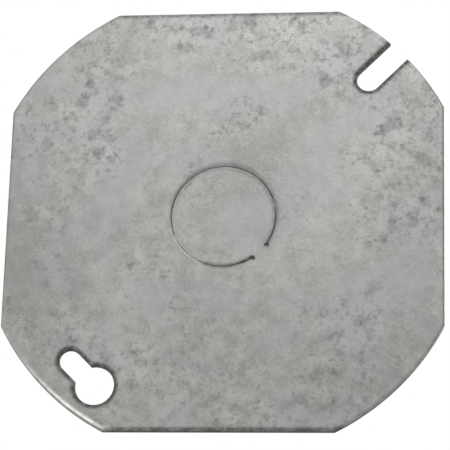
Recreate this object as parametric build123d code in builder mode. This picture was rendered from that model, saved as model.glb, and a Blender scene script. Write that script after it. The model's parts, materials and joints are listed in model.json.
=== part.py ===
from build123d import *
import os

# A flat cover for a 4 inch octagonal electrical box, stamped from one galvanised steel sheet.
# Its knockout is a disc, sheared round nearly its whole rim, that hangs on a short tie of metal.
#
# Frame: the origin is the cover's centre, in the middle of the sheet's thickness. +Z is up.
# The seating face, which lies on the box's rim, looks along +Y. The room face looks along -Y.
# Sketches are drawn on Plane.XZ as the room sees them, and extruded half the sheet each way.

# The blank
SHEET = 1.6                     # sheet thickness
DIE_ROLL = 0.25                 # edge rounding that the blanking punch leaves on the room side

# The outline: a square, with its corners cut off by a circle
FLAT_WIDTH = 93.0               # across opposite flats
CORNER_DIAMETER = 104.7         # across opposite corner arcs

# The fixing screws: two No. 8-32 screws, 3-1/2 inches apart on a diagonal
SCREW_SPACING = 88.9
SCREW_RADIUS = SCREW_SPACING / 2

# The open slot, at the upper right corner
SLOT_ANGLE = 45
SLOT_WIDTH = 5.16
SLOT_INBOARD = 1.3              # from the screw's axis to the centre of the slot's round end

# The keyhole, at the lower left corner: the screw's head goes in at the large end
KEYHOLE_ANGLE = 225
KEYHOLE_SEAT_WIDTH = 4.6        # small end, round the screw's shank
KEYHOLE_ENTRY_DIAMETER = 8.33   # large end, for the screw's head
KEYHOLE_TRAVEL = 7.6            # from the small end to the large one, square to the diagonal

# The knockout: 1/2 inch trade size
KNOCKOUT_DIAMETER = 22.2
SHEAR_GAP = 0.12                # all round, between the disc and the hole's wall
SLUG_RADIUS = KNOCKOUT_DIAMETER / 2 - SHEAR_GAP

# The tie, between two small relief holes at the ends of the sheared rim
TIE_ANGLE = -45
RELIEF_DIAMETER = 0.6
RELIEF_SPACING = 4.05           # between the two relief holes
RELIEF_RADIUS = 11.12           # from the cover's centre to the line through both of them
TIE_ROOT = 0.28                 # from that line out to where the tie joins the cover
TIE_TIP = 0.5                   # from that line in, past the disc's rim
TIE_CLEARANCE = 0.04            # between the tie and the disc

SLOT_END_RADIUS = SCREW_RADIUS - SLOT_INBOARD
SLOT_RUN = CORNER_DIAMETER / 2 - SLOT_END_RADIUS + SLOT_WIDTH
HALF_SHEET = SHEET / 2
TIE_BAND = TIE_ROOT + TIE_TIP
TIE_BAND_SHIFT = (TIE_ROOT - TIE_TIP) / 2

os.makedirs("parts", exist_ok=True)


# The cover: the stamped sheet, with its slot, its keyhole and the hole behind the knockout.
with BuildPart() as cover_plate:
    with BuildSketch(Plane.XZ) as blank:
        Rectangle(FLAT_WIDTH, FLAT_WIDTH)
        Circle(CORNER_DIAMETER / 2, mode=Mode.INTERSECT)
    extrude(amount=HALF_SHEET, both=True)

    with BuildSketch(Plane.XZ) as screw_openings:
        # The slot runs out over the edge, so the cover slides off without removing the screw.
        with PolarLocations(SLOT_END_RADIUS + SLOT_RUN / 2, 1, start_angle=SLOT_ANGLE):
            SlotCenterToCenter(SLOT_RUN, SLOT_WIDTH)
        # The keyhole's two ends lie side by side, so a twist of the cover frees the other screw.
        with PolarLocations(SCREW_RADIUS, 1, start_angle=KEYHOLE_ANGLE):
            with Locations((0, KEYHOLE_TRAVEL / 2)):
                SlotCenterToCenter(KEYHOLE_TRAVEL, KEYHOLE_SEAT_WIDTH, rotation=90)
            with Locations((0, KEYHOLE_TRAVEL)):
                Circle(KEYHOLE_ENTRY_DIAMETER / 2)
    extrude(amount=HALF_SHEET, both=True, mode=Mode.SUBTRACT)

    # The punch rounds the edges that it enters by: the outline's and both screw openings'.
    room_face = cover_plate.faces().sort_by(Axis.Y)[0]
    fillet(room_face.edges(), DIE_ROLL)

    with BuildSketch(Plane.XZ) as knockout_opening:
        Circle(KNOCKOUT_DIAMETER / 2)
        with PolarLocations(RELIEF_RADIUS, 1, start_angle=TIE_ANGLE):
            with Locations((TIE_BAND_SHIFT, 0)):
                Rectangle(TIE_BAND, RELIEF_SPACING)
            with Locations((0, RELIEF_SPACING / 2), (0, -RELIEF_SPACING / 2)):
                Circle(RELIEF_DIAMETER / 2)
    extrude(amount=HALF_SHEET, both=True, mode=Mode.SUBTRACT)


# The knockout's disc, flush with the cover until it is pried out.
with BuildPart() as knockout_slug:
    with BuildSketch(Plane.XZ) as disc:
        Circle(SLUG_RADIUS)
    extrude(amount=HALF_SHEET, both=True)


# The tie: the neck of metal that still joins the disc to the cover, waisted by the relief holes.
with BuildPart() as knockout_tie:
    with BuildSketch(Plane.XZ) as neck:
        with PolarLocations(RELIEF_RADIUS, 1, start_angle=TIE_ANGLE):
            with Locations((TIE_BAND_SHIFT, 0)):
                Rectangle(TIE_BAND, RELIEF_SPACING)
            with Locations((0, RELIEF_SPACING / 2), (0, -RELIEF_SPACING / 2)):
                Circle(RELIEF_DIAMETER / 2, mode=Mode.SUBTRACT)
        Circle(SLUG_RADIUS + TIE_CLEARANCE, mode=Mode.SUBTRACT)
    extrude(amount=HALF_SHEET, both=True)


cover_plate.part.label = "cover_plate"
knockout_slug.part.label = "knockout_slug"
knockout_tie.part.label = "knockout_tie"

export_step(cover_plate.part, "parts/cover_plate.step")
export_step(knockout_slug.part, "parts/knockout_slug.step")
export_step(knockout_tie.part, "parts/knockout_tie.step")
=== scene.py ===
# %% [markdown]
# # The flat cover of an octagonal electrical box
#
# The real thing is one stamping: a blank of galvanised steel sheet, with a keyhole and an open slot
# for its two screws, and a knockout in the middle that hangs on a short neck of metal.
# This file builds the looks of it round the CAD model, which is loaded first and never moved.
# Every piece is drawn flat, as a press tool sees it, and only then given the sheet's thickness.

# %% Load the CAD frame
import json
from math import acos, asin, atan2, ceil, cos, degrees, hypot, pi, radians, sin, sqrt, tau

import bmesh
import bpy
from mathutils import Matrix, Quaternion, Vector
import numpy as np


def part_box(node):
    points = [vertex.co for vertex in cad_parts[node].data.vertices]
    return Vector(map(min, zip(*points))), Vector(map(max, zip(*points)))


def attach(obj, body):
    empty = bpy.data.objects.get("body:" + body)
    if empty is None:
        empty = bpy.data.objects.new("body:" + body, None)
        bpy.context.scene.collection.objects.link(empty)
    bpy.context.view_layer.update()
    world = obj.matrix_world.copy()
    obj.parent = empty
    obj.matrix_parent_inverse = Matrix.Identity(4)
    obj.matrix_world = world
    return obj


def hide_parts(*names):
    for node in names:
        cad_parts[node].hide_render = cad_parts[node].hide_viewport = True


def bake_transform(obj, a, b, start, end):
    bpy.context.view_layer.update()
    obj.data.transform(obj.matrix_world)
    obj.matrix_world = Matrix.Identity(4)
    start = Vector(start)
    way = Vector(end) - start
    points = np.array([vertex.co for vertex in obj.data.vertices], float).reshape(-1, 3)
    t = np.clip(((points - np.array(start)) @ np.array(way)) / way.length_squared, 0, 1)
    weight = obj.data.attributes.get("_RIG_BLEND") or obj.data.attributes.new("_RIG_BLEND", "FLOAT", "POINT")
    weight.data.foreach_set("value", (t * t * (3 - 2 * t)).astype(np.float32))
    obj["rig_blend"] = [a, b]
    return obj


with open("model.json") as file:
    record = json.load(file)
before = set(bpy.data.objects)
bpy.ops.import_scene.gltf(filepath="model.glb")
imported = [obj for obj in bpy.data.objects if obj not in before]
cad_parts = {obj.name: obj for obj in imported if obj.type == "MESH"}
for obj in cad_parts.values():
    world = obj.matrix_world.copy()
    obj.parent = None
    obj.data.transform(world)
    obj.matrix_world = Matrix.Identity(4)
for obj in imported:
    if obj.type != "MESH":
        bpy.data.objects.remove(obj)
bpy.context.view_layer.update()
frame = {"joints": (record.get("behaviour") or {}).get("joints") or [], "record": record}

# %% [markdown]
# ## Sizes
#
# A press tool has a drawing, and the drawing here is the CAD frame: boxes of the nodes, places of the
# mounts and of the hinge. Sizes that the frame can't give, such as the slot's width, are named beside
# them. Blender's units are metres, but meshes this small are drawn in millimetres and scaled at the
# end, because several mesh operators merge points that lie closer than a hundredth of a millimetre.

# %% Sizes that the frame gives, in millimetres
MM = 0.001


def flat_place(point):
    """A point of the frame as (x, z) in millimetres: its place on the sheet as the room sees it."""
    return Vector((point[0], point[2])) / MM


plate_low, plate_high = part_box("cover_plate")
_, disc_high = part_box("knockout_slug")
mounts = {mount["name"]: mount for mount in frame["record"]["mounts"]}
hinge = flat_place(frame["joints"][0]["pos_m"])

ROOM_Y = plate_low.y / MM
BACK_Y = plate_high.y / MM
SHEET = BACK_Y - ROOM_Y
HALF_FLAT = plate_high.x / MM
SEAT_AT = flat_place(mounts["keyhole_screw_seat"]["pos_m"])
ENTRY_AT = flat_place(mounts["keyhole_entry"]["pos_m"])
ENTRY_RADIUS = mounts["keyhole_entry"]["dims"]["r_mm"]
SLOT_SCREW_AT = flat_place(mounts["slot_screw_seat"]["pos_m"])
print(f"sheet {SHEET:.2f}, flats {2 * HALF_FLAT:.1f}, CAD disc {2 * disc_high.x / MM:.2f} mm")

# %% Sizes that belong to the drawing, in millimetres
CORNER_RADIUS = 52.35
SLOT_WIDTH = 5.16
SLOT_INBOARD = 1.3            # the slot's round end lies this far inboard of the screw
SEAT_RADIUS = 2.3
OPENING_RADIUS = 11.1         # the hole that the disc was sheared out of
SLIT = 0.05                   # burrs close most of the gap that the CAD model leaves for moving
DISC_RADIUS = OPENING_RADIUS - SLIT
SLIT_MIDDLE = OPENING_RADIUS - SLIT / 2
RELIEF_RADIUS = 0.27          # the two small holes where the shearing stops
RELIEF_HALF_SPACING = 2.025
NECK_ANGLE = atan2(hinge.y, hinge.x)
print(f"disc {2 * DISC_RADIUS:.2f} mm across, its neck at {degrees(NECK_ANGLE):.0f} degrees")


# %% [markdown]
# ## Drawing with compasses and ruler
#
# The outline of a stamping is arcs and straight lines. Typing in its points would hide that, so each
# arc is a single vertex turned round a centre by `spin`, which leaves a trail of edges, and the end of
# one arc is joined to the start of the next by one straight edge. Seen from the room, +X is to the
# right and +Z is up, and a turn about -Y runs anticlockwise.

# %% An arc, and a closed outline made of arcs
ROOM_AXIS = (0, -1, 0)


def on_circle(centre, radius, angle):
    return Vector(centre) + radius * Vector((cos(angle), sin(angle)))


def on_sheet(place):
    """A place of the drawing, (x, z), as a point of the flat sheet."""
    return Vector((place.x, 0, place.y))


def spin_arc(mesh, centre, radius, start, sweep, step):
    """Turn one vertex round a centre, and give the first and last vertex of the arc that it leaves."""
    first = mesh.verts.new(on_sheet(on_circle(centre, radius, start)))
    made = bmesh.ops.spin(mesh, geom=[first], cent=(centre[0], 0, centre[1]), axis=ROOM_AXIS,
                          angle=sweep, steps=max(2, ceil(abs(sweep) / step)))
    last = next(item for item in made["geom_last"] if isinstance(item, bmesh.types.BMVert))
    return first, last


def closed_outline(mesh, arcs):
    """Spin each arc, and join its end to the start of the next with a straight edge."""
    ends = [spin_arc(mesh, *arc) for arc in arcs]
    for (_, last), (first, _) in zip(ends, ends[1:] + ends[:1]):
        mesh.edges.new((last, first))


print("a quarter turn from +X ends at", on_sheet(on_circle((0, 0), CORNER_RADIUS, pi / 2)))


# %% The outline, with the slot open at its edge
CENTRE = (0, 0)
OUTLINE_STEP = radians(1.6)
SMALL_STEP = radians(9)

flat_half_angle = acos(HALF_FLAT / CORNER_RADIUS)
corner_sweep = pi / 2 - 2 * flat_half_angle
slot_angle = atan2(SLOT_SCREW_AT.y, SLOT_SCREW_AT.x)
slot_end = on_circle(CENTRE, SLOT_SCREW_AT.length - SLOT_INBOARD, slot_angle)
mouth_half_angle = asin(SLOT_WIDTH / 2 / CORNER_RADIUS)

half_corner_sweep = slot_angle - mouth_half_angle - flat_half_angle
slot_corner = [
    (CENTRE, CORNER_RADIUS, flat_half_angle, half_corner_sweep, OUTLINE_STEP),
    (slot_end, SLOT_WIDTH / 2, slot_angle - pi / 2, -pi, SMALL_STEP),
    (CENTRE, CORNER_RADIUS, slot_angle + mouth_half_angle, half_corner_sweep, OUTLINE_STEP),
]
plain_corners = [
    (CENTRE, CORNER_RADIUS, quarter * pi / 2 + flat_half_angle, corner_sweep, OUTLINE_STEP)
    for quarter in (1, 2, 3)
]

sheet = bmesh.new()
closed_outline(sheet, slot_corner + plain_corners)
print("outline:", len(sheet.edges), "edges")

# %% The keyhole
to_entry = ENTRY_AT - SEAT_AT
travel_angle = atan2(to_entry.y, to_entry.x)
neck_half_angle = asin(SEAT_RADIUS / ENTRY_RADIUS)

closed_outline(sheet, [
    (SEAT_AT, SEAT_RADIUS, travel_angle + pi / 2, pi, SMALL_STEP),
    (ENTRY_AT, ENTRY_RADIUS, travel_angle + pi + neck_half_angle, tau - 2 * neck_half_angle, SMALL_STEP),
])
print("with the keyhole:", len(sheet.edges), "edges")

# %% [markdown]
# ## The ground round the knockout
#
# The sheared groove is the finest thing on the cover: a slit a twentieth of a millimetre wide between
# two rounded lips. It follows a circle, so the ground round it is a polar grid: one radial row of
# edges, spun round the centre. Its rings are close where the lips curve. The spin is done in two
# parts, with fine steps at the neck, where the relief holes are, and coarser ones round the rest.

# %% Radii of the grid's rings
NECK_INNER = 10.5             # the neck piece runs from here ...
NECK_OUTER = 11.75            # ... to here, just past the relief holes
GRID_INNER = 9.8
GRID_OUTER = 12.5
RING_BANDS = (                # from, to, and how many rings that is divided into
    (GRID_INNER, NECK_INNER, 3),
    (NECK_INNER, DISC_RADIUS, 8),
    (DISC_RADIUS, OPENING_RADIUS, 2),
    (OPENING_RADIUS, NECK_OUTER, 10),
    (NECK_OUTER, GRID_OUTER, 3),
)

ring_radii = [low + (high - low) * k / count for low, high, count in RING_BANDS for k in range(count)]
ring_radii.append(GRID_OUTER)
print("rings:", len(ring_radii))

# %% Spin the row: fine steps at the neck, coarse ones elsewhere
FINE_HALF = radians(14)
FINE_STEPS = 84
COARSE_STEPS = 166
WELD = 0.0005                 # the last turn ends on the first row, and is merged with it

row_places = [on_circle(CENTRE, radius, NECK_ANGLE - FINE_HALF) for radius in ring_radii]
row = [sheet.verts.new(on_sheet(place)) for place in row_places]
row_edges = [sheet.edges.new(pair) for pair in zip(row, row[1:])]
fine = bmesh.ops.spin(sheet, geom=row + row_edges, cent=(0, 0, 0), axis=ROOM_AXIS,
                      angle=2 * FINE_HALF, steps=FINE_STEPS)
bmesh.ops.spin(sheet, geom=fine["geom_last"], cent=(0, 0, 0), axis=ROOM_AXIS,
               angle=tau - 2 * FINE_HALF, steps=COARSE_STEPS)
bmesh.ops.remove_doubles(sheet, verts=sheet.verts[:], dist=WELD)
print("grid:", len(sheet.faces), "faces")

# %% [markdown]
# ## Filling the flat sheet
#
# `triangle_fill` skins everything between the outline, the keyhole and the grid, and leaves the holes
# open. `inset_region` then lays narrow rings of quads along every rim, one inside the other. The
# rings are what the rounded edges are shaped from later, so each ring's points remember, in a layer
# of the mesh, how far they lie from their rim.

# %% Skin between the rims
FLAT_STEP = 2.0               # length of the pieces that long straight edges are divided into


def radius_of(point):
    return hypot(point.x, point.z)


for edge in [edge for edge in sheet.edges if edge.calc_length() > 2 * FLAT_STEP]:
    bmesh.ops.subdivide_edges(sheet, edges=[edge], cuts=int(edge.calc_length() / FLAT_STEP))
rims = [edge for edge in sheet.edges if edge.is_wire
        or (edge.is_boundary and radius_of(edge.verts[0].co) > OPENING_RADIUS)]
grid_faces = set(sheet.faces)
bmesh.ops.triangle_fill(sheet, use_beauty=True, edges=rims)
skin = [face for face in sheet.faces if face not in grid_faces]
print("skin:", len(skin), "triangles")

# %% Lay the rings, and note the distance of each from its rim
RIM_RINGS = (0.05, 0.11, 0.19, 0.29, 0.41, 0.55, 0.73, 0.95, 1.25)
FAR = 9.0                     # for points that belong to no rim

rim_distance = sheet.verts.layers.float.new("rim_distance")
for vert in sheet.verts:
    vert[rim_distance] = 0 if any(edge.is_boundary for edge in vert.link_edges) else FAR
for inner, outer in zip(RIM_RINGS, (0,) + RIM_RINGS):
    bmesh.ops.inset_region(sheet, faces=skin, thickness=inner - outer, use_boundary=True,
                           use_even_offset=True)
    for vert in {vert for face in skin for vert in face.verts}:
        vert[rim_distance] = inner
hub = [edge for edge in sheet.edges if edge.is_boundary and radius_of(edge.verts[0].co) < NECK_INNER]
bmesh.ops.contextual_create(sheet, geom=hub)
print("whole sheet:", len(sheet.faces), "faces")

# %% [markdown]
# ## Shearing the knockout
#
# The shear goes nearly all the way round, and stops at two small relief holes. Here the grid's faces
# that lie in the slit or in a hole are deleted, which leaves the holes' edges stepped, so the points
# along them are moved out to the true circle.

# %% Cut the slit and the relief holes
relief_distance = hypot(hinge.length, RELIEF_HALF_SPACING)
relief_angle = asin(RELIEF_HALF_SPACING / relief_distance)
relief_holes = [
    on_circle(CENTRE, relief_distance, NECK_ANGLE + side * relief_angle)
    for side in (-1, 1)
]


def turn_from(angle, point):
    """How far round from an angle a point lies, from 0 to pi."""
    turn = atan2(point.z, point.x) - angle
    return abs((turn + pi) % tau - pi)


def from_neck(point):
    return turn_from(NECK_ANGLE, point)


def from_relief(point):
    """Distance to the nearer relief hole's centre."""
    return min(hypot(point.x - hole.x, point.z - hole.y) for hole in relief_holes)


def in_slit(point):
    return DISC_RADIUS < radius_of(point) < OPENING_RADIUS and from_neck(point) > relief_angle


def is_cut(face):
    middle = face.calc_center_median()
    return in_slit(middle) or from_relief(middle) < RELIEF_RADIUS


RELIEF_REACH = 0.07           # points this near to a hole's circle are moved onto it

bmesh.ops.delete(sheet, geom=[face for face in sheet.faces if is_cut(face)], context="FACES")
for vert in sheet.verts:
    if vert.is_boundary and from_relief(vert.co) < RELIEF_RADIUS + RELIEF_REACH:
        hole = min(map(on_sheet, relief_holes), key=lambda centre: (vert.co - centre).length)
        vert.co = hole + (vert.co - hole).normalized() * RELIEF_RADIUS
print("sheared sheet:", len(sheet.faces), "faces")


# %% [markdown]
# ## Three pieces from one sheet
#
# The cover stays still, the disc swings, and the neck between them bends, so they are three pieces.
# They are parted while the sheet is still flat: each piece keeps its own faces of a copy, and is
# extruded to the sheet's thickness, which also walls its seams. The seams fit, because all three
# pieces have the same points there.

# %% Which piece a face belongs to, and the extruded blank of each
def piece_of(face):
    middle = face.calc_center_median()
    radius = radius_of(middle)
    if from_neck(middle) < relief_angle and NECK_INNER < radius < NECK_OUTER:
        return "neck"
    return "disc" if radius < SLIT_MIDDLE else "cover"


def blank(name):
    """A closed solid of one piece: its faces of the flat sheet, extruded from the back to the front."""
    solid = sheet.copy()
    others = [face for face in solid.faces if piece_of(face) != name]
    bmesh.ops.delete(solid, geom=others, context="FACES")
    bmesh.ops.translate(solid, verts=solid.verts[:], vec=(0, BACK_Y, 0))
    raised = bmesh.ops.extrude_face_region(solid, geom=solid.faces[:], use_keep_orig=True)
    front = [item for item in raised["geom"] if isinstance(item, bmesh.types.BMVert)]
    bmesh.ops.translate(solid, verts=front, vec=(0, -SHEET, 0))
    bmesh.ops.recalc_face_normals(solid, faces=solid.faces[:])
    open_edges = sum(not edge.is_manifold for edge in solid.edges)
    print(f"{name}: {len(solid.faces)} faces, {open_edges} open edges")
    return solid


cover, disc, neck = blank("cover"), blank("disc"), blank("neck")

# %% [markdown]
# ## Edges as a press leaves them
#
# Where the punch enters, the sheet is drawn down before it shears: a rounded lip, about twice as wide
# as it is deep. Where the punch leaves, the edge is nearly sharp. A bevel is as deep as it is wide,
# and the same all round, so these lips are shaped by pushing each ring in by the depth that a quarter
# of an ellipse has at its distance from the rim. One corner was struck, and is bent back a little.

# %% The depth of a rounded lip
RIM_LIP = (0.50, 0.26)        # width and depth, where the punch enters
BURR_LIP = (0.11, 0.05)       # the same where it leaves


def ramp(value, low, high):
    """0 below low, 1 above high, and a smooth rise between them."""
    share = min(max((value - low) / (high - low), 0), 1)
    return share * share * (3 - 2 * share)


def roll(distance, lip):
    """Depth of a rounded lip at a distance from its edge: a quarter of an ellipse."""
    width, depth = lip
    share = min(max(distance / width, 0), 1)
    return depth * (1 - sqrt(1 - (1 - share) ** 2))


print("depth of each ring:", [round(roll(distance, RIM_LIP), 3) for distance in (0, *RIM_RINGS)])


# %% The lips of the outline, the slot and the keyhole, and the struck corner
STRUCK_FROM = radians(206)    # the corner that was struck, as angles round the cover
STRUCK_FULL = radians(238)
STRUCK_TO = radians(242)
STRUCK_END = radians(243.5)
STRUCK_BEND = (1.15, 0.30)    # how wide a band is bent back there, and how far
STRUCK_CURVE = 1.5            # above 1, the bend steepens towards the edge
OUTLINE_BAND = 1.3            # a little wider than the rings


def on_outline(point):
    """Whether a point lies in the band of rings that follows the outline."""
    angle = atan2(point.z, point.x)
    edge_radius = min(CORNER_RADIUS, HALF_FLAT / max(abs(cos(angle)), abs(sin(angle))))
    return edge_radius - radius_of(point) < OUTLINE_BAND


def struck(point):
    """How much of the struck corner's bend a point of the outline has: 1 at the corner itself."""
    angle = atan2(point.z, point.x) % tau
    share = ramp(angle, STRUCK_FROM, STRUCK_FULL) * (1 - ramp(angle, STRUCK_TO, STRUCK_END))
    return share if on_outline(point) else 0


def rim_depth(point, distance, at_front):
    if not at_front:
        return roll(distance, BURR_LIP)
    width, depth = STRUCK_BEND
    bent = depth * max(1 - distance / width, 0) ** STRUCK_CURVE
    return roll(distance, RIM_LIP) + struck(point) * bent


struck_edge = on_sheet(on_circle(CENTRE, CORNER_RADIUS, STRUCK_FULL))
print(f"edge of the struck corner: {rim_depth(struck_edge, 0, True):.2f} mm behind the front")


# %% [markdown]
# ## The lips of the knockout's groove
#
# The knockout was punched partly through from the front and pressed back. So at the front the
# cover's side of the groove is drawn down and the disc's side is nearly sharp, and at the back it is
# the other way round. The punch met the sheet a little askew, so the lips are broadest and deepest at
# the upper right. The disc never comes back quite flush: it stays tilted about its neck by a third of
# a degree, lowest at its far side.

# %% How far a point of the groove's ground is pushed in
NECK_DIRECTION = Vector((cos(NECK_ANGLE), sin(NECK_ANGLE)))
SET_ANGLE = radians(0.36)
DRAWN_LIP = (0.82, 0.31)      # width and depth of a lip that was drawn down
SHARP_LIP = (0.30, 0.09)
RELIEF_LIP = (0.25, 0.10)     # only at the front
BROAD_SIDE = radians(60)      # where the groove's lips are broadest and deepest, and by what share
BROADER = 0.45


def groove_depth(point, at_front):
    """Depth of the lips at a point: the cover's front and the disc's back were drawn down."""
    radius = radius_of(point)
    width, depth = DRAWN_LIP if (radius > SLIT_MIDDLE) == at_front else SHARP_LIP
    grown = 1 + BROADER * cos(turn_from(BROAD_SIDE, point))
    to_slit = radius - OPENING_RADIUS if radius > SLIT_MIDDLE else DISC_RADIUS - radius
    past_holes = from_neck(point) > relief_angle
    along_slit = roll(to_slit, (width * grown, depth * grown)) if past_holes else 0
    round_hole = roll(from_relief(point) - RELIEF_RADIUS, RELIEF_LIP) if at_front else 0
    return max(along_slit, round_hole)


def set_back(point):
    """How far the tilt of the disc puts a point behind the sheet. It is nothing past the hinge."""
    inboard = hinge.length - NECK_DIRECTION.dot(Vector((point.x, point.z)))
    return max(inboard, 0) * sin(SET_ANGLE)


far_side = on_sheet(on_circle(CENTRE, DISC_RADIUS, NECK_ANGLE + pi))
print(f"far side of the disc: set back by {set_back(far_side):.3f} mm")


# %% [markdown]
# ## Painted shade and highlight along the edges
#
# Shade is painted into the colour along the sheared edges, most in the keyhole, in the slot, along the
# bottom edge and at the bottom of the groove, and the ridge of the struck corner is rubbed bright and
# lightened as a painted highlight. A material can't tell where an edge is, so both are painted: a number
# at each point of the mesh, kept in a layer, which the material reads by its name.

# %% Painted shade along the rims
OPENING_SHADE = 1.0            # 1 hides the zinc under painted shade, 0 leaves it as it is
OUTLINE_SHADE = 0.04
TOPSIDE_SHADE = 0.55           # painted shade along the top edge
UNDERSIDE_SHADE = 0.85         # painted shade along the bottom edge
EDGE_BAND = (HALF_FLAT - 1.4, HALF_FLAT - 0.8)
RIM_FADE = (0.40, 1.20)       # how far from a rim its painted shade starts to fade, and is gone
DIAGONAL = SLOT_SCREW_AT.normalized()


def on_slot(point):
    """Whether a point lies in the slot's band of rings."""
    place = Vector((point.x, point.z))
    across = abs(place.cross(DIAGONAL))
    return place.dot(DIAGONAL) > SLOT_SCREW_AT.length / 2 and across < SLOT_WIDTH / 2 + OUTLINE_BAND


# painted shade along the rims: full in the keyhole and the slot, heavy along the bottom and top edges, faint
# elsewhere, none on the struck corner
def rim_dirt(point, distance):
    fade = 1 - ramp(distance, *RIM_FADE)
    if on_slot(point) or not on_outline(point):
        return OPENING_SHADE * fade
    top_shade = TOPSIDE_SHADE * ramp(point.z, *EDGE_BAND)
    bottom_shade = UNDERSIDE_SHADE * ramp(-point.z, *EDGE_BAND)
    return (OUTLINE_SHADE + top_shade + bottom_shade) * (1 - struck(point)) * fade


print(f"top edge {rim_dirt(Vector((0, 0, HALF_FLAT)), 0):.2f} dirty, "
      f"bottom edge {rim_dirt(Vector((0, 0, -HALF_FLAT)), 0):.2f}")

# %% Painted shade round the groove
GROOVE_SHADE = 0.42
GROOVE_FADE = (0.20, 1.25)    # how far from the slit its painted shade starts to fade, and is gone
LEAST_SHADE_SIDE = radians(215)     # the side of the groove with the least painted shade, and by what share
LESS_SHADE = 0.9
LOW_GROOVE_SHADE = 0.85            # painted shade, heaviest near the groove's lowest part
LOW_GROOVE_SIDE = radians(283)
LOW_GROOVE_REACH = (radians(22), radians(50))      # how far round it goes either way
LOW_GROOVE_FADE = (0.15, 0.80)
RELIEF_FADE = (0.40, 0.75)    # from a relief hole's centre


# painted shade along the groove, lightest at its lower left and heaviest at its lower right, and round the
# relief holes
def groove_dirt(point):
    slit = abs(radius_of(point) - SLIT_MIDDLE) if from_neck(point) > relief_angle else FAR
    less_shade = LESS_SHADE * (1 + cos(turn_from(LEAST_SHADE_SIDE, point))) / 2
    along_slit = GROOVE_SHADE * (1 - less_shade) * (1 - ramp(slit, *GROOVE_FADE))
    low_share = 1 - ramp(turn_from(LOW_GROOVE_SIDE, point), *LOW_GROOVE_REACH)
    low_shade = LOW_GROOVE_SHADE * low_share * (1 - ramp(slit, *LOW_GROOVE_FADE))
    return max(along_slit, low_shade, 1 - ramp(from_relief(point), *RELIEF_FADE))


groove_low = on_sheet(on_circle(CENTRE, SLIT_MIDDLE, LOW_GROOVE_SIDE))
print(f"lowest part of the groove: {groove_dirt(groove_low):.2f} dirty")

# %% Paint the shade, and the rubbed ridge with its painted highlight
RIDGE_RISE = (0.25, 0.55)     # how far from the edge the bent band meets the flat sheet
RIDGE_FALL = (0.80, 1.20)


def by_the_groove(point):
    return radius_of(point) < GRID_OUTER + OUTLINE_BAND


# Paints shade into one layer along rims, openings and the groove, and the rubbed ridge's painted highlight
# into another
def paint_edges(solid):
    distance_of = solid.verts.layers.float["rim_distance"]
    dirt = solid.verts.layers.float.new("dirt")
    rubbed = solid.verts.layers.float.new("rubbed")
    for vert in solid.verts:
        point, distance = vert.co, vert[distance_of]
        vert[dirt] = groove_dirt(point) if by_the_groove(point) else rim_dirt(point, distance)
        ridge = ramp(distance, *RIDGE_RISE) * (1 - ramp(distance, *RIDGE_FALL))
        vert[rubbed] = struck(point) * ridge
    print("painted points:", sum(vert[dirt] + vert[rubbed] > 0 for vert in solid.verts))


for solid in (cover, disc, neck):
    paint_edges(solid)

# %% Push the points in
TOUCH = 0.001                 # how near to the front a point counts as on it


def shape_lips(solid):
    distance_of = solid.verts.layers.float["rim_distance"]
    for vert in solid.verts:
        point = vert.co
        at_front = abs(point.y - ROOM_Y) < TOUCH
        if not by_the_groove(point):
            depth = rim_depth(point, vert[distance_of], at_front)
        elif GRID_INNER < radius_of(point) < GRID_OUTER:
            depth = groove_depth(point, at_front)
        else:
            depth = 0
        vert.co.y += depth if at_front else -depth


def tilt_disc(solid):
    for vert in solid.verts:
        vert.co.y += set_back(vert.co)


for solid in (cover, disc, neck):
    shape_lips(solid)
for solid in (disc, neck):
    tilt_disc(solid)
disc_back = max(vert.co.y for vert in disc.verts)
print(f"back of the disc: {disc_back - BACK_Y:.3f} mm proud of the sheet's back")

# %% [markdown]
# ## From meshes to objects
#
# A finished mesh is scaled to metres and given to an object at the origin, as the CAD nodes are.
# Its faces are shaded smooth, and edges that turn by more than a set angle are marked sharp, so that
# the lips look round and the sheared walls stay crisp.

# %% Finish a piece
SHARP_TURN = radians(38)


def finish_piece(solid, name, material):
    bmesh.ops.recalc_face_normals(solid, faces=solid.faces[:])
    bmesh.ops.scale(solid, vec=(MM, MM, MM), verts=solid.verts[:])
    for edge in solid.edges:
        edge.smooth = edge.calc_face_angle(0) < SHARP_TURN
    for face in solid.faces:
        face.smooth = True
    mesh = bpy.data.meshes.new(name)
    solid.to_mesh(mesh)
    solid.free()
    mesh.materials.append(material)
    piece = bpy.data.objects.new(name, mesh)
    bpy.context.scene.collection.objects.link(piece)
    print(f"{name}: {len(mesh.vertices)} points, {len(mesh.polygons)} faces")
    return piece


print(f"edges that turn by {degrees(SHARP_TURN):.0f} degrees or more stay sharp")


# %% [markdown]
# ## Writing shaders as sums
#
# A shader is arithmetic on values that change over a surface. Wrapping a node's output in a small
# class with + - * and ** lets the arithmetic be written as such, and each sign adds the Math node for
# it. Every other node comes from one method, which takes its type, its settings and its inputs.

# %% A socket that can be added and multiplied
class Value:
    """The output of a shader node. Sums and products of Values add Math nodes."""

    def __init__(self, nodes, socket):
        self.nodes = nodes
        self.socket = socket

    def _math(self, operation, *operands):
        return self.nodes.add("ShaderNodeMath", {"operation": operation}, dict(enumerate(operands)))

    def __add__(self, other):
        return self._math("ADD", self, other)

    def __sub__(self, other):
        return self._math("SUBTRACT", self, other)

    def __rsub__(self, other):
        return self._math("SUBTRACT", other, self)

    def __mul__(self, other):
        return self._math("MULTIPLY", self, other)

    def __pow__(self, other):
        return self._math("POWER", self, other)

    def __abs__(self):
        return self._math("ABSOLUTE", self)

    __radd__ = __add__
    __rmul__ = __mul__


print("a Value takes + - * ** and abs()")


# %% A node tree that nodes are added to
GENERATED, NORMAL, OBJECT = 0, 1, 3            # outputs of Texture Coordinate
SHARE, FIRST, SECOND, MIXED = 0, 6, 7, 2       # inputs of Mix for colours, and its output
ATTRIBUTE_VALUE = 2                            # the output of Attribute that is a plain number


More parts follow.
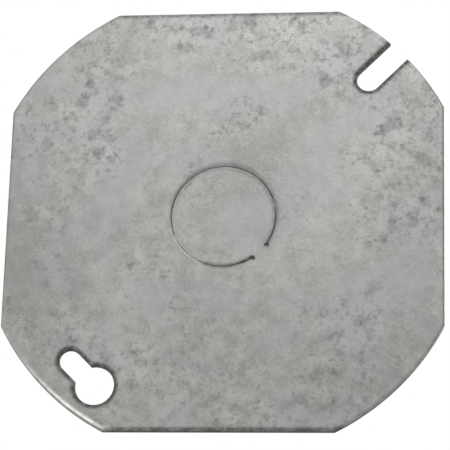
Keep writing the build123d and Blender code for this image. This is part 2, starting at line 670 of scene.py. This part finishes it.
class Nodes:
    """A material's or a world's node tree."""

    def __init__(self, owner):
        owner.use_nodes = True
        self.tree = owner.node_tree

    def add(self, kind, settings=None, inputs=None, output=0):
        """Add a node: first its settings, then the value or the link of each input."""
        made = self.tree.nodes.new(kind)
        for name, setting in (settings or {}).items():
            setattr(made, name, setting)
        for name, given in (inputs or {}).items():
            self.feed(made.inputs[name], given)
        return Value(self, made.outputs[output])

    def feed(self, socket, given):
        if isinstance(given, Value):
            self.tree.links.new(given.socket, socket)
        else:
            socket.default_value = given

    def noise(self, point, per_mm, detail, roughness):
        """Soft noise round 0.5, with so many patches to the millimetre."""
        return self.add("ShaderNodeTexNoise", {"noise_dimensions": "3D"},
                        {"Vector": point, "Scale": per_mm, "Detail": detail, "Roughness": roughness})

    def rise(self, value, low, high):
        """0 below low, 1 above high, and a smooth rise between them."""
        return self.add("ShaderNodeMapRange", {"interpolation_type": "SMOOTHSTEP"},
                        {"Value": value, "From Min": low, "From Max": high})

    def spots(self, point, per_mm, detail, roughness, low, high):
        """Spots with soft edges: 1 where the noise is above high, 0 where it is below low."""
        return self.rise(self.noise(point, per_mm, detail, roughness), low, high)

    def mix(self, share, first, second):
        """A colour between two, by its share of the second."""
        inputs = {SHARE: share, FIRST: first, SECOND: second}
        return self.add("ShaderNodeMix", {"data_type": "RGBA"}, inputs, MIXED)

    def moved(self, point, shift):
        return self.add("ShaderNodeVectorMath", {"operation": "ADD"}, {0: point, 1: shift})

    def painted(self, layer):
        """The number that was painted on the mesh, by its layer's name."""
        return self.add("ShaderNodeAttribute", {"attribute_name": layer}, output=ATTRIBUTE_VALUE)

    def axis(self, vector, which):
        """The x, y or z of a vector: 0, 1 or 2."""
        return self.add("ShaderNodeSeparateXYZ", inputs={0: vector}, output=which)


print("ready-made steps:", [name for name in vars(Nodes) if not name.startswith("_")])


# %% [markdown]
# ## Galvanised sheet
#
# Zinc on rolled sheet is a dull, light grey metal. It is never even: broad clouds from the bath, some
# cooler and some warmer, small blotches where the zinc has dulled, a fine grain, dark rubbed spots
# that gather along the rim where covers are handled and stacked, and pinholes. The sheared walls are
# bare steel: a smooth burnished band where the punch went in, and a darker, rougher break below it.
# Every pattern reads Object coordinates, in millimetres, so it runs on across the seams.

# %% Tones of the zinc, the painted shade and highlight, and the bare steel
LIGHT_ZINC = (0.490, 0.492, 0.466, 1)
DARK_ZINC = (0.298, 0.298, 0.280, 1)
COOL_ZINC = (0.385, 0.396, 0.432, 1)
RUBBED_ZINC = (0.13, 0.13, 0.125, 1)
# rubbed zinc on the struck corner's ridge, lightened further as a painted highlight
RUBBED_HIGHLIGHT_ZINC = (0.62, 0.60, 0.58, 1)
# painted shade, put into the colour along rims, openings and the groove
PAINTED_SHADE_COLOUR = (0.045, 0.043, 0.040, 1)
BURNISHED_STEEL = (0.22, 0.215, 0.21, 1)
BROKEN_STEEL = (0.07, 0.07, 0.067, 1)
print(f"light zinc is {LIGHT_ZINC[1] / DARK_ZINC[1]:.2f} times as light as dark zinc")

# %% The clouds, the blotches and the grain of the zinc
CLOUDS = (0.045, 3, 0.55)     # patches to the millimetre, levels of detail, and the detail's strength
BLOTCHES = (0.30, 4, 0.62)
GRAIN = (1.7, 3, 0.6)
COOL_PATCHES = (0.055, 2, 0.5, 0.46, 0.62)     # and the levels where a spot starts and is full
COOL_SHARE = 0.55
COOL_SHIFT = (11, 184, 212)   # where in the endless noise a pattern is cut from, in millimetres
WEAR_SHIFT = (84, 74, 135)
CLOUD_SHARE = 0.7
BLOTCH_SHARE = 0.7
GRAIN_SHARE = 0.5
TONE_SPAN = (0.64, 1.32)      # the sums at which the zinc is darkest and lightest


def zinc_colour(nodes, point, blotches, grain):
    clouds = nodes.noise(nodes.moved(point, WEAR_SHIFT), *CLOUDS)
    tone = clouds * CLOUD_SHARE + blotches * BLOTCH_SHARE + grain * GRAIN_SHARE
    zinc = nodes.mix(nodes.rise(tone, *TONE_SPAN), DARK_ZINC, LIGHT_ZINC)
    cool = nodes.spots(nodes.moved(point, COOL_SHIFT), *COOL_PATCHES)
    return nodes.mix(cool * COOL_SHARE, zinc, COOL_ZINC)


for pattern, per_mm in (("clouds", CLOUDS[0]), ("blotches", BLOTCHES[0]), ("grain", GRAIN[0])):
    print(f"{pattern}: {1 / per_mm:.1f} mm across")

# %% Rubbed spots, smudges and pinholes
HANDLED = (0.09, 2, 0.5)
RUBS = (0.8, 4, 0.65, 0.50, 0.68)
SMUDGES = (0.28, 3, 0.55, 0.50, 0.66)
PINHOLES = (1.25, 2, 0.5, 0.65, 0.74)
RUBBED_WHERE = (0.48, 0.68)   # how much handling it takes
SMUDGED_WHERE = (0.50, 0.75)
RIM_BAND = (22, 44)           # from the cover's centre, in millimetres
MORE_AT_RIM = 0.17
RUB_STRENGTH = 0.40
SMUDGE_STRENGTH = 0.34
PINHOLE_STRENGTH = 0.34


def wear_marks(nodes, point):
    """Marks of handling, which gather along the rim, and pinholes everywhere."""
    x, z = nodes.axis(point, 0), nodes.axis(point, 2)
    near_rim = nodes.rise((x * x + z * z) ** 0.5, *RIM_BAND)
    handled = nodes.noise(nodes.moved(point, WEAR_SHIFT), *HANDLED) + near_rim * MORE_AT_RIM
    rubs = nodes.spots(point, *RUBS) * nodes.rise(handled, *RUBBED_WHERE)
    smudges = nodes.spots(point, *SMUDGES) * nodes.rise(handled, *SMUDGED_WHERE)
    pinholes = nodes.spots(point, *PINHOLES)
    return rubs * RUB_STRENGTH + smudges * SMUDGE_STRENGTH + pinholes * PINHOLE_STRENGTH


print(f"marks gather more than {RIM_BAND[0]} mm from the centre")

# %% The sheared walls
WALL_FACING = (0.2, 0.5)      # how much a face looks forwards or back: a wall does so less than this
BREAK_LINE = (0.0, 0.25)      # depth in the sheet at which the steel starts to be broken, and is
BREAK_EDGE = (0.8, 3, 0.6)
BREAK_WANDER = 0.5            # how far that line wanders, in millimetres


def wall_share(nodes):
    facing = nodes.axis(nodes.add("ShaderNodeTexCoord", output=NORMAL), 1)
    return 1 - nodes.rise(abs(facing), *WALL_FACING)


def steel_colour(nodes, point):
    depth = nodes.axis(point, 1) + nodes.noise(point, *BREAK_EDGE) * BREAK_WANDER
    return nodes.mix(nodes.rise(depth, *BREAK_LINE), BURNISHED_STEEL, BROKEN_STEEL)


break_at = (sum(BREAK_LINE) - BREAK_WANDER) / 2
print(f"the break takes up about {(BACK_Y - break_at) / SHEET:.0%} of a wall")

# %% The whole material
SHADE_PATCHES = (0.9, 3, 0.65, 0.35, 0.60)
EVEN_SHADE = 0.6               # the share of the painted shade that is there between the patches
DEEPEST_SHADE = 0.92
BLOTCH_HEIGHT = 0.03          # in millimetres, for the bump
GRAIN_HEIGHT = 0.012
MARK_DEPTH = 0.02
BUMP_STRENGTH = 0.9
METAL = 0.85                  # bare zinc, and how much less of it shows under marks and painted shade
METAL_UNDER_MARKS = 0.3
METAL_UNDER_SHADE = 0.5
SMOOTHEST = 0.44              # roughness, and what is added to it
BLOTCH_ROUGH = 0.14
MARK_ROUGH = 0.15
SHADE_ROUGH = 0.2
RUBBED_SMOOTH = 0.05


def galvanised(name):
    material = bpy.data.materials.new(name)
    nodes = Nodes(material)
    surface = nodes.tree.nodes["Principled BSDF"].inputs
    metres = nodes.add("ShaderNodeTexCoord", output=OBJECT)
    to_millimetres = {"Vector": metres, "Scale": 1 / MM}
    point = nodes.add("ShaderNodeVectorMath", {"operation": "SCALE"}, to_millimetres)
    blotches = nodes.noise(point, *BLOTCHES)
    grain = nodes.noise(point, *GRAIN)
    marks = wear_marks(nodes, point)
    patchy = nodes.spots(point, *SHADE_PATCHES) * (1 - EVEN_SHADE) + EVEN_SHADE
    # painted shade and the rubbed ridge's painted highlight, read from the mesh's layers
    dirt = nodes.painted("dirt") * patchy * DEEPEST_SHADE
    rubbed = nodes.painted("rubbed") * patchy

    zinc = nodes.mix(marks, zinc_colour(nodes, point, blotches, grain), RUBBED_ZINC)
    bare = nodes.mix(wall_share(nodes), zinc, steel_colour(nodes, point))
    # painted shade darkens the colour, and the rubbed ridge is lightened as a painted highlight
    colour = nodes.mix(dirt, nodes.mix(rubbed, bare, RUBBED_HIGHLIGHT_ZINC), PAINTED_SHADE_COLOUR)
    metal = METAL - marks * METAL_UNDER_MARKS - dirt * METAL_UNDER_SHADE
    rough = blotches * BLOTCH_ROUGH + marks * MARK_ROUGH + dirt * SHADE_ROUGH - rubbed * RUBBED_SMOOTH
    height = blotches * BLOTCH_HEIGHT + grain * GRAIN_HEIGHT - marks * MARK_DEPTH
    bump = {"Strength": BUMP_STRENGTH, "Distance": MM, "Height": height}

    nodes.feed(surface["Base Color"], colour)
    nodes.feed(surface["Metallic"], metal)
    nodes.feed(surface["Roughness"], rough + SMOOTHEST)
    nodes.feed(surface["Normal"], nodes.add("ShaderNodeBump", inputs=bump))
    print(f"material {name}: {len(nodes.tree.nodes)} nodes")
    return material


zinc_sheet = galvanised("galvanised sheet")

# %% [markdown]
# ## Putting the pieces on their bodies
#
# The cover rides on the still body, the disc on the one that swings. The neck belongs to both: it
# follows the cover outside the hinge line and the disc inside it, and turns smoothly in between.
# The band in which it turns is as wide as the relief holes beside it, so nothing tears.

# %% Make the objects, and say what moves them
BEND_OUTER = 11.41            # from the cover's centre to where the bend starts, in millimetres
BEND_INNER = 10.83            # and to where it ends


def along_neck(distance):
    x, z = distance * NECK_DIRECTION * MM
    return (x, plate_high.y, z)


cover_sheet = finish_piece(cover, "cover_sheet", zinc_sheet)
knockout_disc = finish_piece(disc, "knockout_disc", zinc_sheet)
knockout_neck = finish_piece(neck, "knockout_neck", zinc_sheet)

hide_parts("cover_plate")
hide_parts("knockout_slug")
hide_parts("knockout_tie")
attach(cover_sheet, "cover")
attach(knockout_disc, "knockout")
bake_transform(knockout_neck, "cover", "knockout", start=along_neck(BEND_OUTER), end=along_neck(BEND_INNER))
print(f"the neck bends over {BEND_OUTER - BEND_INNER:.2f} mm of its length")

# %% [markdown]
# ## The studio
#
# Dull metal shows what is round it, so the surroundings are what light it: lighter above, behind and
# on the left, and greyer below and in front. One large soft light hangs above and in front, a small
# one stands low on the left, which picks out the struck corner, and one lights the back. The
# background that the camera sees is plain white. The floor lies low, because the camera looks up at
# the cover from below its middle.

# %% Floor
FLOOR_DROP = 0.2              # below the cover's middle, in metres
FLOOR_SIZE = 6.0
FLOOR_GREY = (0.80, 0.80, 0.80, 1)
FLOOR_ROUGHNESS = 0.9
FLOOR_GLOW = 0.35             # seen by the camera only, so the floor looks pale but lights nothing

floor_mesh = bmesh.new()
bmesh.ops.create_grid(floor_mesh, x_segments=1, y_segments=1, size=FLOOR_SIZE / 2,
                      matrix=Matrix.Translation((0, 0, -FLOOR_DROP)))
floor_data = bpy.data.meshes.new("floor")
floor_mesh.to_mesh(floor_data)
floor_mesh.free()
floor = bpy.data.objects.new("floor", floor_data)
bpy.context.scene.collection.objects.link(floor)
paper = bpy.data.materials.new("floor paper")
floor_data.materials.append(paper)
paper_nodes = Nodes(paper)
paper_surface = paper_nodes.tree.nodes["Principled BSDF"].inputs
paper_nodes.feed(paper_surface["Base Color"], FLOOR_GREY)
paper_nodes.feed(paper_surface["Roughness"], FLOOR_ROUGHNESS)
paper_nodes.feed(paper_surface["Emission Color"], paper_nodes.add("ShaderNodeLightPath"))
paper_nodes.feed(paper_surface["Emission Strength"], FLOOR_GLOW)
print(f"floor {FLOOR_SIZE:.0f} m across, {FLOOR_DROP:.2f} m below the cover's middle")

# %% Surroundings: white to the camera, a soft gradient to the metal
WHITE = (1, 1, 1, 1)
LIGHT_BELOW = 0.03
LIGHT_ABOVE = 0.28
LIGHT_BEHIND = 1.00
LIGHT_BESIDE = 0.25           # on the left
ABOVE_SPAN = (-0.4, 0.8)      # how far up a direction points where that light sets in, and is full
BEHIND_SPAN = (-0.1, 0.7)     # the same, backwards
BESIDE_SPAN = (0.3, 0.9)      # and to the left

world = bpy.data.worlds.new("studio")
bpy.context.scene.world = world
studio = Nodes(world)
studio.tree.nodes.clear()
direction = studio.add("ShaderNodeTexCoord", output=GENERATED)
above = studio.rise(studio.axis(direction, 2), *ABOVE_SPAN) * (LIGHT_ABOVE - LIGHT_BELOW)
behind = studio.rise(studio.axis(direction, 1), *BEHIND_SPAN) * LIGHT_BEHIND
beside = studio.rise(studio.axis(direction, 0) * -1, *BESIDE_SPAN) * LIGHT_BESIDE
soft = studio.add("ShaderNodeBackground", inputs={"Strength": above + behind + beside + LIGHT_BELOW})
white = studio.add("ShaderNodeBackground", inputs={"Color": WHITE})
to_camera = studio.add("ShaderNodeLightPath")
surroundings = studio.add("ShaderNodeMixShader", inputs={0: to_camera, 1: soft, 2: white})
world_output = studio.tree.nodes.new("ShaderNodeOutputWorld")
studio.feed(world_output.inputs["Surface"], surroundings)
print("surroundings:", len(studio.tree.nodes), "nodes")

# %% Soft lights
def soft_light(name, place, size, power):
    """Add a round area light that looks at the cover's centre."""
    data = bpy.data.lights.new(name, "AREA")
    data.shape = "DISK"
    data.size = size
    data.energy = power
    light = bpy.data.objects.new(name, data)
    light.location = place
    light.rotation_mode = "QUATERNION"
    light.rotation_quaternion = (-Vector(place)).to_track_quat("-Z", "Y")
    bpy.context.scene.collection.objects.link(light)
    print(f"{name}: {size * 100:.0f} cm across, {power} W, {light.location.length:.2f} m away")


LIGHTS = (                    # name, place, diameter and power
    ("key", (0.02, -0.45, 0.43), 0.36, 2.03),
    ("low side light", (-0.32, -0.45, -0.09), 0.09, 0.7),
    ("back light", (0.55, 0.60, 0.12), 0.40, 3.0),
)
for light in LIGHTS:
    soft_light(*light)

# %% [markdown]
# ## Camera
#
# The cover is seen from a little to the right and well below its middle, through a long lens, so its
# sides converge only slightly, and the camera is rolled by a degree and a half.

# %% Camera
AZIMUTH = radians(6.6)
ELEVATION = radians(-18.05)
ROLL = radians(1.6)
DISTANCE = 0.4793             # in metres
LENS = 181.6                  # in millimetres, like the sensor's width
SENSOR = 36
AIM = Vector((0.00041, plate_low.y, -0.00204))

camera_data = bpy.data.cameras.new("camera")
camera_data.lens = LENS
camera_data.sensor_width = SENSOR
camera = bpy.data.objects.new("camera", camera_data)
backwards = Vector((sin(AZIMUTH) * cos(ELEVATION), -cos(AZIMUTH) * cos(ELEVATION), sin(ELEVATION)))
camera.location = AIM + DISTANCE * backwards
camera.rotation_mode = "QUATERNION"
camera.rotation_quaternion = (-backwards).to_track_quat("-Z", "Y") @ Quaternion((0, 0, 1), ROLL)
bpy.context.scene.collection.objects.link(camera)
bpy.context.scene.camera = camera
bpy.context.scene.view_settings.view_transform = "Standard"
print("camera at", [round(x, 3) for x in camera.location])

# %% [markdown]
# ## Sizes against the CAD model
#
# The visual pieces are made to keep within the CAD model. Only the back of the tilted disc stands a
# little proud of it.
